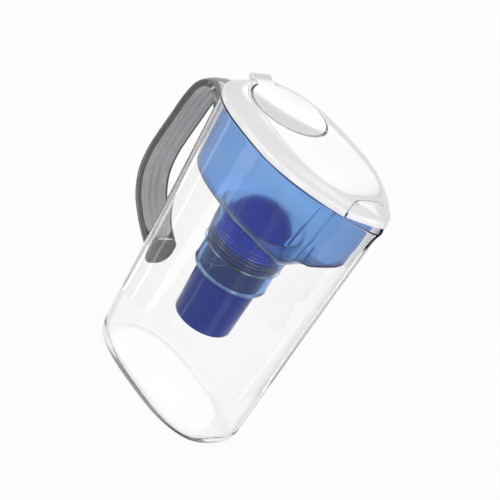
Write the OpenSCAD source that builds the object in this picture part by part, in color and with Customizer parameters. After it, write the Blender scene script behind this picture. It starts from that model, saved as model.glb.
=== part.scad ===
// Water filter pitcher with a lift-up fill door and a swinging spout flap.
// The origin is the middle of the base's underside. X runs from the handle to the spout,
// Y across the pitcher and Z up.

/* [Tank] */
// Length of the base, from back to front
base_length = 150; // [130:1:180]
// Width of the base
base_width = 87.4; // [76:0.1:100]
// Height of the rim above the table
rim_height = 240; // [200:1:288]
// How far the rim's back stands behind the middle of the base
rim_back = 81.5; // [76:0.5:94]
// How far the rim's pouring tip stands in front of the middle of the base
rim_front = 95; // [90:0.5:110]
// Width of the rim
rim_width = 109.6; // [100:0.1:131]
// Where the rim is widest, in front of the middle of the base
rim_middle = 9; // [0:0.5:14]
// Thickness of the clear wall
tank_wall = 2.4; // [1.8:0.1:3.2]
// Radius of the edge between wall and floor
base_round = 9.2; // [6:0.1:11]
// Thickness of the floor
floor_thick = 4; // [3:0.1:6]
// How far the pouring lip is drawn outwards
lip_reach = 3; // [0:0.5:4]

/* [Handle] */
// How far the grip stands behind the tank
handle_reach = 51; // [42:1:62]
// Width of the grip
grip_width = 31; // [26:0.5:38]
// Depth of the channel along the inside of the grip
channel_depth = 8; // [7:0.5:10]
// Thickness of the grip's shell
grip_wall = 2.6; // [2:0.1:3.5]
// Width of the shoulder where the grip meets the rim
shoulder_width = 74; // [50:1:84]
// Height of the middle of the foot
foot_height = 76.5; // [63:0.5:92]
// Width of the foot
foot_width = 29; // [24:0.5:35]

/* [Reservoir] */
// Depth of the basin below the rim
basin_depth = 68; // [56:1:82]
// Thickness of the basin's wall
basin_wall = 2; // [1.5:0.1:2.6]
// Gap between basin and tank at the rim
basin_gap = 0.9; // [0.6:0.1:1.5]
// Extra gap between basin and tank at the basin's floor
basin_taper = 3; // [0:0.1:5]
// Radius of the edge between the basin's wall and floor
basin_round = 16; // [8:1:20]
// Depth of the filter's socket below the basin's floor
socket_depth = 56.5; // [50:0.5:60]
// Thickness of the socket's wall
socket_wall = 1.8; // [1.4:0.1:2.4]

/* [Filter] */
// Length of the cartridge from its drain to the top of its dome
filter_length = 119; // [110:1:128]
// Radius of the cartridge at its collar
collar_radius = 30.4; // [28:0.1:33]
// Radius of the cartridge just under its collar
filter_radius = 27; // [24:0.1:29]
// Radius of the cartridge at its foot
filter_foot_radius = 24.4; // [22:0.1:26]
// Thickness of the cartridge's walls
filter_wall = 1.6; // [1.2:0.1:2]

/* [Lid] */
// Height of the lid's upper edge above the rim
lid_rise = 12.3; // [10:0.1:14]
// Length of the lid's panel
panel_length = 144; // [134:1:146]
// Width of the lid's panel
panel_width = 80; // [74:0.5:86]
// Radius of the fill door
door_radius = 31.6; // [27:0.1:33]
// How far the middle of the fill door stands behind the middle of the base
door_back = 36.2; // [34:0.1:38]
// Width of the fill door's tab
tab_width = 26; // [18:0.5:28]
// Where the spout flap begins, in front of the middle of the base
flap_line = 73.2; // [72:0.1:76]
// How far the spout flap stands open at rest, in degrees
flap_open = 12; // [0:1:20]

/* [Clearances] */
// Gap between pieces that rest on each other but come apart
seat_gap = 0.3; // [0.2:0.05:0.5]
// Gap between pieces of one assembly
fit_gap = 0.1; // [0.05:0.05:0.2]
// Gap all round a hinge pin
pin_gap = 0.05; // [0.02:0.01:0.08]
// Gap round the fill door
door_gap = 1.2; // [1:0.1:1.6]

/* [Hidden] */
$fn = 64;
around = 72;   // points round each outline
sliver = 0.01; // overlap that joins two shapes

// ---- Outlines ----
// An outline is [back, front, middle, half width, back squareness, front squareness]:
// two half superellipses that meet where the outline is widest.
base_outline = [-base_length / 2, base_length / 2, 0, base_width / 2, 2.7, 2.7];
rim_outline = [-rim_back, rim_front, rim_middle, rim_width / 2, 3.2, 1.5];

function power(v, e) = sign(v) * pow(abs(v), e);
function outline_point(o, a) =
    let (ahead = cos(a) >= 0)
    let (reach = ahead ? o[1] - o[2] : o[2] - o[0])
    let (e = 2 / (ahead ? o[5] : o[4]))
    [o[2] + reach * power(cos(a), e), o[3] * power(sin(a), e)];
function outline_normal(o, a) =
    let (t = outline_point(o, a + 1) - outline_point(o, a - 1))
    [t.y, -t.x] / norm(t);
// A ring of points on outline o, drawn in by inset, at height z
function ring(o, inset, z) = [
    for (i = [0:around - 1])
        let (a = 360 * i / around)
        let (p = outline_point(o, a) - inset * outline_normal(o, a))
        [p.x, p.y, z]
];
function mix(a, b, t) = a * (1 - t) + b * t;
function clamp01(t) = max(0, min(1, t));

// Height above the base's rounded edge, from 0 there to 1 at the rim
function rise(z) = clamp01((z - base_round) / (rim_height - base_round));
// How far the pouring lip pushes a point outwards
lip_start = rim_height - 20;
lip_half_width = 16;
function lip_push(p) =
    p.x < 0 ? 0 : lip_reach * pow(clamp01((p.z - lip_start) / (rim_height - lip_start)), 2)
        * exp(-pow(p.y / lip_half_width, 2));
// A ring of the tank's outer surface at height z, drawn in by inset
function wall_ring(z, inset) =
    let (low = ring(base_outline, inset, z), high = ring(rim_outline, inset, z))
    [for (i = [0:around - 1]) mix(low[i], high[i], rise(z))];
function tank_ring(z, inset) = [for (p = wall_ring(z, inset)) p + [lip_push(p), 0, 0]];
// X of the tank's back at side y and height z
function back_x(y, z) =
    let (t = rise(z))
    let (half = mix(base_outline[3], rim_outline[3], t))
    let (squareness = mix(base_outline[4], rim_outline[4], t))
    let (middle = mix(base_outline[2], rim_outline[2], t))
    let (back = mix(base_outline[0], rim_outline[0], t))
    middle + (back - middle) * pow(1 - pow(min(0.99, abs(y) / half), squareness), 1 / squareness);

// ---- Surfaces ----
// Triangles between rings j and k of n points
function band(j, k, n) = [
    for (i = [0:n - 1]) let (m = (i + 1) % n)
        for (f = [[j * n + i, j * n + m, k * n + m], [j * n + i, k * n + m, k * n + i]]) f
];
// Strips that close ring j across, from side to side
function cap(j, n, up) = [
    for (i = [0:n / 2 - 1])
        let (a = j * n + i, b = j * n + i + 1)
        let (c = j * n + n - i - 1, d = j * n + (n - i) % n)
        for (f = concat(i > 0 ? [[a, c, d]] : [], b != c ? [[a, b, c]] : []))
            up ? f : [f[2], f[1], f[0]]
];
function flipped(faces) = [for (f = faces) [f[2], f[1], f[0]]];
// A closed solid through rings, from the cap on the first to the cap on the last
module skin(rings) {
    n = len(rings[0]);
    last = len(rings) - 1;
    bands = [for (j = [0:last - 1]) for (f = band(j, j + 1, n)) f];
    polyhedron([for (r = rings) for (p = r) p],
        flipped(concat(bands, cap(0, n, false), cap(last, n, true))));
}
// A closed solid whose last ring joins its first
module skin_loop(rings) {
    n = len(rings[0]);
    count = len(rings);
    polyhedron([for (r = rings) for (p = r) p],
        flipped([for (j = [0:count - 1]) for (f = band(j, (j + 1) % count, n)) f]));
}

// ---- Tank ----
edge_steps = [0, 30, 60];
inner_round = base_round - floor_thick;
lip_levels = [rim_height - 20, rim_height - 13, rim_height - 6, rim_height];

module pitcher_body() {
    outer = concat(
        [for (a = edge_steps) ring(base_outline, base_round * (1 - sin(a)), base_round * (1 - cos(a)))],
        [tank_ring(base_round, 0)],
        [for (z = lip_levels) tank_ring(z, 0)]);
    inner = concat(
        [for (i = [3:-1:0]) tank_ring(lip_levels[i], tank_wall)],
        [tank_ring(base_round, tank_wall)],
        [for (a = [60, 30, 0])
            ring(base_outline, tank_wall + inner_round * (1 - sin(a)), base_round - inner_round * cos(a))]);
    color("whitesmoke", 0.35) skin(concat(outer, inner));
}

// ---- Handle ----
// The grip's outer surface, as [distance behind the rim's back, height from foot to shoulder],
// both as shares of the handle's reach and height
grip_shares = [
    [0.01, 0.953], [0.284, 0.963], [0.598, 0.943], [0.80, 0.873], [0.892, 0.767],
    [0.939, 0.628], [0.982, 0.495], [0.994, 0.382], [0.931, 0.265],
    [0.735, 0.158], [0.431, 0.076], [0.157, 0.025], [-0.018, -0.003]
];
grip_top = rim_height - 5;
grip_foot = foot_height;
function grip_knot(i) = [
    -rim_back - handle_reach * grip_shares[i][0],
    mix(grip_foot, grip_top, grip_shares[i][1])
];
grip_spans = len(grip_shares) - 1;
steps_per_span = 3;
grip_stations = grip_spans * steps_per_span;
// Catmull-Rom curve through the knots, u from 0 at the shoulder to 1 at the foot
function curve_point(p, t) =
    0.5 * (2 * p[1] + (p[2] - p[0]) * t + (2 * p[0] - 5 * p[1] + 4 * p[2] - p[3]) * t * t
        + (3 * p[1] - p[0] - 3 * p[2] + p[3]) * t * t * t);
function grip_at(u) =
    let (s = min(grip_spans - 0.0001, max(0, u * grip_spans)), i = floor(s))
    let (knots = [for (k = [-1:2]) grip_knot(max(0, min(grip_spans, i + k)))])
    curve_point(knots, s - i);
// Unit vector away from the tank, square to the curve
function grip_out(u) =
    let (t = grip_at(min(1, u + 0.01)) - grip_at(max(0, u - 0.01)))
    [t.y, -t.x] / norm(t);
// Half width of the grip, wider towards the shoulder
shoulder_share = 0.16;
function grip_half(u) =
    grip_width / 2 + (shoulder_width - grip_width) / 2 * pow(clamp01(1 - u / shoulder_share), 2);
// How strongly the shoulder follows the tank's back
function shoulder_pull(u) = pow(clamp01(1 - u / shoulder_share), 1.5);
// A ring across the grip: profile is a list of [share of half width, depth below the outer surface]
function grip_ring(u, profile, side_gap) =
    let (c = grip_at(u), out = grip_out(u), half = grip_half(u) - side_gap, pull = shoulder_pull(u))
    [for (q = profile)
        let (y = q[0] * half)
        let (x = c.x - out.x * q[1], z = c.y - out.y * q[1])
        let (wrap = back_x(y, rim_height) - back_x(0, rim_height))
        [min(x + wrap * pull, back_x(y, z) - seat_gap), y, z]];

shell_side = 1 - grip_wall / (grip_width / 2);
grip_crown = 2.4; // how far the middle of the grip stands out
// Shares of the half width at which the profile has points
crown_points = [-1, -0.88, -0.7, -0.4, 0, 0.4, 0.7, 0.88, 1];
function crown(v) = grip_crown * pow(abs(v), 2.6);
function shell_profile() = concat(
    [[-1, channel_depth]],
    [for (v = crown_points) [v, crown(v)]],
    [[1, channel_depth], [shell_side, channel_depth]],
    [for (k = [7:-1:1]) let (v = crown_points[k]) [v * shell_side / 0.88, grip_wall + crown(v * 0.8)]],
    [[-shell_side, channel_depth]]);

foot_half_height = 12;
foot_corner = 9;
foot_thick = 4;
// The foot lies against the tank's back, with round lower corners
module handle_foot() {
    half = foot_width / 2;
    slices = [for (k = [0:12])
        let (y = half * sin(mix(-90, 90, k / 12)))
        let (over = max(0, abs(y) - (half - foot_corner)))
        let (low = foot_height - foot_half_height + foot_corner - sqrt(max(0, pow(foot_corner, 2) - pow(over, 2))))
        let (high = foot_height + foot_half_height)
        [for (q = [[low, seat_gap], [high, seat_gap], [high, foot_thick * 0.7], [high - 2, foot_thick],
                [low + 2, foot_thick], [low, foot_thick * 0.7]])
            [back_x(y, q[0]) - q[1], y, q[0]]]];
    skin([for (k = [12:-1:0]) slices[k]]);
}

module handle_shell() {
    color("darkgray") {
        skin([for (k = [0:grip_stations]) grip_ring(k / grip_stations, shell_profile(), 0)]);
        handle_foot();
    }
}

liner_from = 0.14;
liner_to = 0.86;
liner_stations = 24;
liner_depth = 5.4;
rib_height = 1.1;
// Shares of the liner's half width where its face steps between rib and groove
liner_steps = [[1, 1], [0.72, 1], [0.66, 0], [0.5, 0], [0.44, 1], [0.24, 1], [0.18, 0]];
function liner_profile(close) = concat(
    [for (k = [0:6]) [-liner_steps[k][0] * close, grip_wall + crown(0.8) + fit_gap]],
    [for (k = [6:-1:0]) [liner_steps[k][0] * close, grip_wall + crown(0.8) + fit_gap]],
    [for (q = liner_steps) [q[0] * close, liner_depth + rib_height * q[1]]],
    [for (k = [6:-1:0]) [-liner_steps[k][0] * close, liner_depth + rib_height * liner_steps[k][1]]]);
// The ribbed liner fills the channel and has round ends
module handle_liner() {
    color("gray")
        skin([for (k = [0:liner_stations])
            let (u = mix(liner_from, liner_to, k / liner_stations))
            let (e = min(k, liner_stations - k) / 3)
            let (close = (e < 1 ? sqrt(1 - pow(1 - max(0.15, e), 2)) : 1))
            grip_ring(u, liner_profile(close), grip_wall + fit_gap)]);
}

// ---- Reservoir ----
flange_thick = 1.4;
flange_low = rim_height + seat_gap;
flange_high = flange_low + flange_thick;
basin_floor = rim_height - basin_depth; // underside of the basin
pour_gap = 22.7;         // from the basin's front wall to the pouring tip, at the rim
basin_front_lean = 7.6;  // how much further back the front wall stands at the floor
basin_front_corner = 9;  // size of the rounded corners beside the front wall
basin_front_rise = 12;   // how far the floor rises towards the front wall
rise_from = 38;          // X where that rise begins
rise_to = 66;            // X where it ends
function basin_front(z) =
    mix(rim_front - pour_gap - basin_front_lean, rim_front - pour_gap,
        clamp01((z - basin_floor) / basin_depth));
// The smaller of a and b, with a rounded corner of size k
function smooth_min(a, b, k) = let (h = clamp01(0.5 + (b - a) / (2 * k))) mix(b, a, h) - k * h * (1 - h);
function ease(t) = t * t * (3 - 2 * t);
function floor_lift(x, z) =
    basin_front_rise * ease(clamp01((x - rise_from) / (rise_to - rise_from)))
        * clamp01(1 - (z - basin_floor) / (2 * basin_round));
// Share of the edge's full radius between floor and wall, smaller beside the front wall
front_edge_share = 0.35;
edge_from = 20;          // X where the edge starts to tighten
edge_to = 56;            // X where it is tightest
function edge_share(x) = mix(1, front_edge_share, ease(clamp01((x - edge_from) / (edge_to - edge_from))));
// A ring of the basin's outer surface at height z, drawn in by inset
function basin_ring(z, inset) =
    let (gap = basin_gap + basin_taper * clamp01((rim_height - z) / basin_depth))
    [for (p = wall_ring(z, tank_wall + gap + inset))
        let (x = smooth_min(p.x, basin_front(z) - inset, basin_front_corner))
        [x, p.y, z + floor_lift(x, z)]];
// A ring of the flange that rests on the tank's rim
flange_nose = 1.5;
function flange_ring(z) = [
    for (p = ring(rim_outline, fit_gap, z))
        [smooth_min(p.x, rim_front - pour_gap + flange_nose, basin_front_corner), p.y, z]
];

// The cartridge stands on a ledge in the socket
filter_x = -2;
seat_depth = 31.4;
seat_z = basin_floor - seat_depth;
collar_height = 70.9; // from the cartridge's foot to the underside of its collar
filter_z = seat_z + seat_gap - collar_height;
function filter_side(h) = mix(filter_foot_radius, filter_radius, h / collar_height);
groove_depth = 0.9;
seal_section = 1.25;
seal_ring = filter_radius - groove_depth + fit_gap + seal_section; // radius of the seal's middle line
seal_height = collar_height - 3;
socket_low = basin_floor - socket_depth;
socket_bore = seal_ring + seal_section + seat_gap;  // under the ledge
socket_seat = collar_radius + seat_gap;             // above the ledge
socket_exit = filter_side(socket_low - filter_z) + 0.6;
socket_mouth = socket_seat + 2;
socket_edge = 2.5;
socket_exit_thick = 2;

module at_filter() translate([filter_x, 0, 0]) children();

// Distance from the socket's middle line to a ring, looking out at angle a
function cross_of(p, q) = p.x * q.y - p.y * q.x;
function reach_at(points, a) =
    let (n = len(points), d = [cos(a), sin(a)])
    [for (i = [0:n - 1])
        let (p = [points[i].x - filter_x, points[i].y])
        let (q = [points[(i + 1) % n].x - filter_x, points[(i + 1) % n].y])
        if (cross_of(p, d) >= 0 && cross_of(q, d) < 0 && p * d > 0)
            cross_of(p, q) / cross_of(d, q - p)][0];
// A ring at height z that takes in both a circle of radius r and, if any, the ring of points
function joined_ring(r, points, z, lifted) = [
    for (i = [0:around - 1])
        let (a = 360 * i / around)
        let (reach = len(points) == 0 ? r : max(r, reach_at(points, a)))
        let (x = filter_x + reach * cos(a))
        [x, reach * sin(a), z + (lifted ? floor_lift(x, z) : 0)]
];
function basin_level(r, z, inset) = joined_ring(r, basin_ring(z, inset), z, true);
// A ring of the rounded edge between floor and wall, at angle a from the floor, inside a wall if one is given
function edge_level(r, a, size, wall) =
    let (low = basin_floor + wall, z = low + size * (1 - cos(a)))
    let (by_wall = basin_ring(z, wall), drawn_in = basin_ring(z, wall + size * (1 - sin(a))))
    [for (p = joined_ring(r, [for (i = [0:len(by_wall) - 1])
            mix(by_wall[i], drawn_in[i], edge_share(by_wall[i].x))], z, true))
        [p.x, p.y, p.z - (z - low) * (1 - edge_share(p.x))]];
bore_spare = 0.6; // how much of the socket's inside is left for the round bores to cut

module reservoir() {
    wall = socket_wall;
    outside = socket_mouth + wall;
    inside = socket_mouth;
    inner_edge = basin_round - basin_wall;
    outer = concat(
        [for (q = [[socket_exit + wall, socket_low], [socket_exit + wall + socket_edge, socket_low + socket_edge],
                [socket_bore + wall, seat_z - 2], [socket_seat + wall, seat_z + 3],
                [outside, basin_floor - 6], [outside, basin_floor - 0.8]]) joined_ring(q[0], [], q[1], false)],
        [for (a = edge_steps) edge_level(outside, a, basin_round, 0)],
        [for (z = [basin_floor + basin_round, mix(basin_floor, rim_height, 0.55), flange_low])
            basin_level(0, z, 0)],
        [for (z = [flange_low, flange_high]) joined_ring(0, flange_ring(z), z, false)]);
    inner = concat(
        [for (z = [flange_high, mix(basin_floor, rim_height, 0.55), basin_floor + basin_round])
            basin_level(0, z, basin_wall)],
        [for (a = [60, 30, 0]) edge_level(inside, a, inner_edge, basin_wall)],
        [for (q = [[inside, basin_floor + basin_wall - 0.8], [inside, basin_floor - 6],
                [socket_seat + 0.4, seat_z + 6], [socket_bore - bore_spare, seat_z + 5],
                [socket_exit + socket_edge - bore_spare, socket_low + socket_exit_thick + socket_edge],
                [socket_exit - bore_spare, socket_low + socket_exit_thick]]) joined_ring(q[0], [], q[1], false)]);
    color("cornflowerblue", 0.5) difference() {
        skin(concat(outer, inner));
        at_filter() rotate_extrude() polygon([
            [0, socket_low - 1], [socket_exit, socket_low - 1], [socket_exit, socket_low + socket_exit_thick],
            [socket_exit + socket_edge, socket_low + socket_exit_thick + socket_edge],
            [socket_bore, seat_z - 6], [socket_bore, seat_z], [socket_seat, seat_z],
            [socket_seat, seat_z + 8], [0, seat_z + 8]
        ]);
    }
}

// ---- Filter cartridge ----
collar_thick = 3;
neck_height = collar_height + collar_thick;
neck_radius = filter_radius - 0.2;
neck_top = neck_height + 12;
housing_floor = 2;
foot_edge = 2.5;
drain_radius = 17;
cap_low = neck_height + 6;     // the cap's skirt starts here
cap_radius = neck_radius + fit_gap + filter_wall;
dome_low = filter_length - 29; // the dome's straight side ends here
screen_thick = 1.4;
thread_rings = 2;
thread_size = 0.7;

module housing_outline() polygon(concat(
    [[drain_radius, 0], [filter_foot_radius - foot_edge, 0]],
    [for (a = [-60, -30, 0]) [filter_foot_radius - foot_edge + foot_edge * cos(a), foot_edge + foot_edge * sin(a)]],
    [[filter_side(seal_height - 1.4), seal_height - 1.4],
     [filter_radius - groove_depth, seal_height - 1.4], [filter_radius - groove_depth, seal_height + 1.4],
     [filter_radius, seal_height + 1.4], [filter_radius, collar_height],
     [collar_radius, collar_height], [collar_radius, neck_height], [neck_radius, neck_height],
     [neck_radius, neck_top], [neck_radius - filter_wall, neck_top],
     [neck_radius - filter_wall, collar_height], [filter_side(0) - filter_wall, housing_floor],
     [drain_radius, housing_floor]]));
module filter_housing() color("midnightblue") at_filter() translate([0, 0, filter_z]) {
    rotate_extrude() housing_outline();
    for (k = [1:thread_rings]) translate([0, 0, neck_height + k * 2.2])
        rotate_extrude() polygon([
            [neck_radius - sliver, -thread_size], [neck_radius + thread_size, 0], [neck_radius - sliver, thread_size]
        ]);
}
window_count = 10;
dome_steps = [0:15:75];
module filter_cap() {
    inside = cap_radius - filter_wall;
    height = filter_length - dome_low;
    color("midnightblue") at_filter() translate([0, 0, filter_z]) difference() {
        rotate_extrude() polygon(concat(
            [[inside, cap_low], [cap_radius, cap_low]],
            [for (a = dome_steps) [cap_radius * cos(a), dome_low + height * sin(a)]],
            [[0, filter_length], [0, filter_length - filter_wall]],
            [for (a = [75:-15:0]) [inside * cos(a), dome_low + (height - filter_wall) * sin(a)]]));
        for (i = [0:window_count - 1]) rotate(i * 360 / window_count)
            translate([inside - 5, -1.4, dome_low + 1]) cube([10, 2.8, 8]);
    }
}
module filter_seal() color("black") at_filter()
    translate([0, 0, filter_z + seal_height]) rotate_extrude() translate([seal_ring, 0]) circle(seal_section, $fn = 32);
media_low = housing_floor + screen_thick + 2 * fit_gap;
media_high = neck_top - screen_thick - 2 * fit_gap;
module filter_media() color("dimgray") at_filter() translate([0, 0, filter_z]) rotate_extrude() polygon([
    [0, media_low], [filter_side(0) - filter_wall - fit_gap, media_low],
    [neck_radius - filter_wall - fit_gap, collar_height], [neck_radius - filter_wall - fit_gap, media_high],
    [0, media_high]
]);
module filter_screen(radius, low) color("gainsboro") at_filter()
    translate([0, 0, filter_z + low]) cylinder(screen_thick, r = radius);
module filter_top_screen() filter_screen(neck_radius - filter_wall - fit_gap, neck_top - screen_thick);
module filter_bottom_screen() filter_screen(filter_side(0) - filter_wall - fit_gap, housing_floor + fit_gap);
drain_slots = 6;
module filter_drain() color("midnightblue") at_filter() translate([0, 0, filter_z]) difference() {
    cylinder(housing_floor, r = drain_radius - fit_gap);
    for (i = [0:drain_slots - 1]) rotate(i * 360 / drain_slots)
        translate([4, -1.2, -1]) cube([10, 2.4, housing_floor + 2]);
}

// ---- Lid ----
lid_low = flange_high + seat_gap;    // lower edge of the skirt
lid_high = rim_height + lid_rise;    // where the frame meets the panel
ledge_z = lid_high - 2.1;            // ledge under the panel
ledge_width = 3.5;
frame_thick = 2.5;
panel_front = flap_line - 4.3;
panel_middle = 14.3;
panel_outline = [panel_front - panel_length, panel_front, panel_middle, panel_width / 2, 2.2, 2.55];
function frame_ring(inset_rim, inset_panel, share, z) =
    let (outer = ring(rim_outline, inset_rim, z), inner = ring(panel_outline, inset_panel, z))
    [for (i = [0:around - 1]) mix(outer[i], inner[i], share)];
frame_section = [
    [-0.2, 0, 0, lid_low], [-0.7, 0, 0, lid_low + 2.2], [-0.3, 0, 0, lid_low + 4.2],
    [0.9, 0, 0, lid_low + 6], [3.2, 0, 0, lid_low + 7.2],
    [3.2, 0, 0.55, lid_high - 1.1], [0, 0, 1, lid_high], [0, 0, 1, ledge_z],
    [0, ledge_width, 1, ledge_z], [0, ledge_width, 1, ledge_z - frame_thick],
    [5, 0, 0, ledge_z - frame_thick - 1.5], [2.6, 0, 0, lid_low + 2.5], [2.2, 0, 0, lid_low]
];
module frame_solid() skin_loop([for (s = frame_section) frame_ring(s[0], s[1], s[2], s[3])]);

// Fill door: a dished disc that turns on two stubs near its front edge
door_x = -door_back;
door_edge_high = lid_high + 0.7;
door_thick = 2;
door_dish = 2;
tilt_inset = 8.5;                    // from the door's front edge back to its hinge
tilt_x = door_x + door_radius - tilt_inset;
tilt_z = door_edge_high - 1.2;
stub_radius = 0.7;
stub_from = 19;
door_chord = sqrt(pow(door_radius, 2) - pow(door_radius - tilt_inset, 2));
notch_chord = door_chord + 2.2;      // half width of the notches in the recess beside the stubs
stub_to = notch_chord + 1.5;
notch_half = tab_width / 2 + 0.8;
tab_pocket_low = ledge_z - 1;        // floor under the thumb tab
well_low = ledge_z - 4;
well_radius = door_radius + door_gap + 1.6;
door_seat_z = ledge_z + 0.2;         // top of the ledge under the fill door
door_seat_width = 3.6;
plate_low = ledge_z + fit_gap;
plate_high = lid_high + 0.6;

// Spout flap: the lid's nose, with a round back edge that holds its hinge pin
swing_x = flap_line + 1.4;
swing_z = lid_high - 2.5;
flap_gap = 0.6;
swing_roll = 1.7;
swing_pin_radius = 0.6;
swing_ear_from = 11.6;
swing_ear_to = 14.6;
swing_ear_radius = 1.3;
module across(radius, from, to) rotate([-90, 0, 0]) translate([0, 0, from]) cylinder(to - from, r = radius);
module at_swing() translate([swing_x, 0, swing_z]) children();
module at_tilt() translate([tilt_x, 0, tilt_z]) children();

locator_half = 14;
locator_middle = rim_middle - 16;
locator_drop = 9;
locator_thick = 1.6;
locator_side = rim_width / 2 - tank_wall - basin_gap - basin_wall - 2;
module lid_frame() color("white") difference() {
    union() {
        difference() {
            frame_solid();
            translate([swing_x - swing_roll - flap_gap, -rim_width, lid_low - 5]) cube([rim_front, 2 * rim_width, 40]);
        }
        for (s = [-1, 1]) mirror([0, min(0, s), 0]) {
            at_swing() across(swing_ear_radius, swing_ear_from, swing_ear_to);
            translate([swing_x - swing_roll - flap_gap - 2, swing_ear_from, swing_z - swing_ear_radius])
                cube([swing_roll + flap_gap + 2, swing_ear_to - swing_ear_from, swing_ear_radius + 0.4]);
            translate([locator_middle - locator_half, locator_side - locator_thick, lid_low - locator_drop])
                cube([2 * locator_half, locator_thick, ledge_z - 1 - lid_low + locator_drop]);
        }
    }
    translate([door_x - door_radius - 25, -notch_half, tab_pocket_low]) cube([28, 2 * notch_half, 20]);
    translate([door_x, 0, lid_low - 5]) cylinder(plate_low - lid_low + 5.6, r = well_radius + fit_gap);
    at_swing() across(swing_pin_radius + pin_gap, -swing_ear_to - 1, swing_ear_to + 1);
}
module lid_panel() color("white") difference() {
    union() {
        skin([for (s = [[fit_gap, plate_low], [fit_gap, plate_high - 0.7], [1.1, plate_high]])
            ring(panel_outline, s[0], s[1])]);
        translate([door_x, 0, well_low]) cylinder(plate_low - well_low + 0.5, r = well_radius);
    }
    translate([door_x, 0, door_seat_z]) cylinder(20, r = door_radius + door_gap);
    translate([door_x, 0, well_low - 1]) cylinder(20, r = door_radius - door_seat_width);
    // Room for the door's front edge as it dips
    intersection() {
        translate([door_x, 0, well_low - 1]) cylinder(20, r = door_radius + door_gap);
        translate([tilt_x - 3, -door_radius, well_low - 2]) cube([40, 2 * door_radius, 30]);
    }
    translate([tilt_x - 0.6, -notch_chord, well_low - 1]) cube([2.5, 2 * notch_chord, 20]);
    translate([door_x - door_radius - 20, -notch_half, tab_pocket_low]) cube([23, 2 * notch_half, 20]);
    for (s = [-1, 1]) mirror([0, min(0, s), 0]) at_tilt() across(stub_radius + pin_gap, stub_from, stub_to + 0.3);
}
// The tab's side view, from the door's back edge: a hollow thumb face that rises to a round back
tab_outline = [
    [4, 0.5], [-0.5, 0.5], [-3, 1], [-6.5, 2.3], [-9.5, 4.2], [-11.5, 5.3], [-12.6, 4.6],
    [-13.8, 0.7], [-12.7, -2], [-11, -2.7], [-2, -2.7], [0.5, -1.4], [3.5, -1.4]
];
// How far the door's face lies below its edge, flat in the very middle
function dish_at(share) = door_dish * (1 - pow(max(0.125, share), 2));
module fill_door() color("white") {
    translate([door_x, 0, 0]) rotate_extrude($fn = 96) polygon(concat(
        [for (k = [0:8]) [door_radius * k / 8, door_edge_high - dish_at(k / 8)]],
        [for (k = [8:-1:0]) [door_radius * k / 8, door_edge_high - door_thick - dish_at(k / 8)]]));
    translate([door_x - door_radius, tab_width / 2, lid_high]) rotate([90, 0, 0])
        linear_extrude(tab_width) polygon(tab_outline);
    for (s = [-1, 1]) mirror([0, min(0, s), 0]) at_tilt() across(stub_radius, stub_from, stub_to);
}
module spout_flap() color("white") at_swing() rotate([0, -flap_open, 0]) translate([-swing_x, 0, -swing_z])
    difference() {
        intersection() {
            frame_solid();
            union() {
                translate([swing_x, -rim_width, lid_low - 5]) cube([rim_front, 2 * rim_width, 40]);
                at_swing() across(swing_roll, -rim_width / 2, rim_width / 2);
            }
        }
        for (s = [-1, 1]) mirror([0, min(0, s), 0]) {
            at_swing() across(swing_ear_radius + seat_gap, swing_ear_from - seat_gap, swing_ear_to + seat_gap);
            translate([swing_x - swing_roll - 1, swing_ear_from - seat_gap, swing_z - 5])
                cube([swing_roll + 1, swing_ear_to - swing_ear_from + 2 * seat_gap, 10]);
        }
        at_swing() across(swing_pin_radius + pin_gap, -swing_ear_to, swing_ear_to);
    }
module spout_flap_pin() color("silver") at_swing() across(swing_pin_radius, -swing_ear_to, swing_ear_to);

pitcher_body();
handle_shell();
handle_liner();
reservoir();
filter_housing();
filter_cap();
filter_seal();
filter_media();
filter_top_screen();
filter_bottom_screen();
filter_drain();
lid_frame();
lid_panel();
fill_door();
spout_flap();
spout_flap_pin();
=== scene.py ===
"""Water filter pitcher: a clear tank with a grey handle, a translucent blue reservoir that
holds the filter cartridge, and a white lid with a fill door and a spout flap.

Every new piece is a surface worked out with numpy from the outlines and sizes below. All
sizes are in millimetres and become metres when a mesh is built."""

import math

import bpy
import numpy as np
from mathutils import Matrix, Vector

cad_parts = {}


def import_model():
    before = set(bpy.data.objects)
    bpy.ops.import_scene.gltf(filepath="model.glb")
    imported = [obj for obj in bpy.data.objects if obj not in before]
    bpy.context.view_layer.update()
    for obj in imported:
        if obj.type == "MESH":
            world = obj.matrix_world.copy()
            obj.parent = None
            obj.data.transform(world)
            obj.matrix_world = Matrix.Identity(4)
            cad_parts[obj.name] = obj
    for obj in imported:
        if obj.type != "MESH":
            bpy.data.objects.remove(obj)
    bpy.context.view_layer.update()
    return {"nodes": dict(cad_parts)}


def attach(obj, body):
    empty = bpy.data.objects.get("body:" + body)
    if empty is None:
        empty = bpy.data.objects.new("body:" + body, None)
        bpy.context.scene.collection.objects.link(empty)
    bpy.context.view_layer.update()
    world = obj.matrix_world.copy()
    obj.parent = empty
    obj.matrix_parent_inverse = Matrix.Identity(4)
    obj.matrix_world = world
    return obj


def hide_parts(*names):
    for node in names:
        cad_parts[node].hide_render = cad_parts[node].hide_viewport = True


MM = 0.001

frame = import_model()

# ---- Sizes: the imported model's, but for the shoulder, the panel, the tab, the handle's side
# wall and the gap round the door ----
BASE_LENGTH = 150.0
BASE_WIDTH = 87.4
RIM_HEIGHT = 240.0
RIM_BACK = 81.5
RIM_FRONT = 95.0
RIM_WIDTH = 109.6
RIM_MIDDLE = 9.0
TANK_WALL = 2.4
BASE_ROUND = 9.2
LIP_REACH = 3.0
LIP_HEIGHT = 20.0
LIP_WIDTH = 16.0

HANDLE_REACH = 51.0
GRIP_WIDTH = 31.0
CHANNEL_DEPTH = 8.0
GRIP_WALL = 2.6
GRIP_SIDE = 1.8
SHOULDER_WIDTH = 60.0
FOOT_HEIGHT = 76.5
FOOT_WIDTH = 29.0

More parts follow.
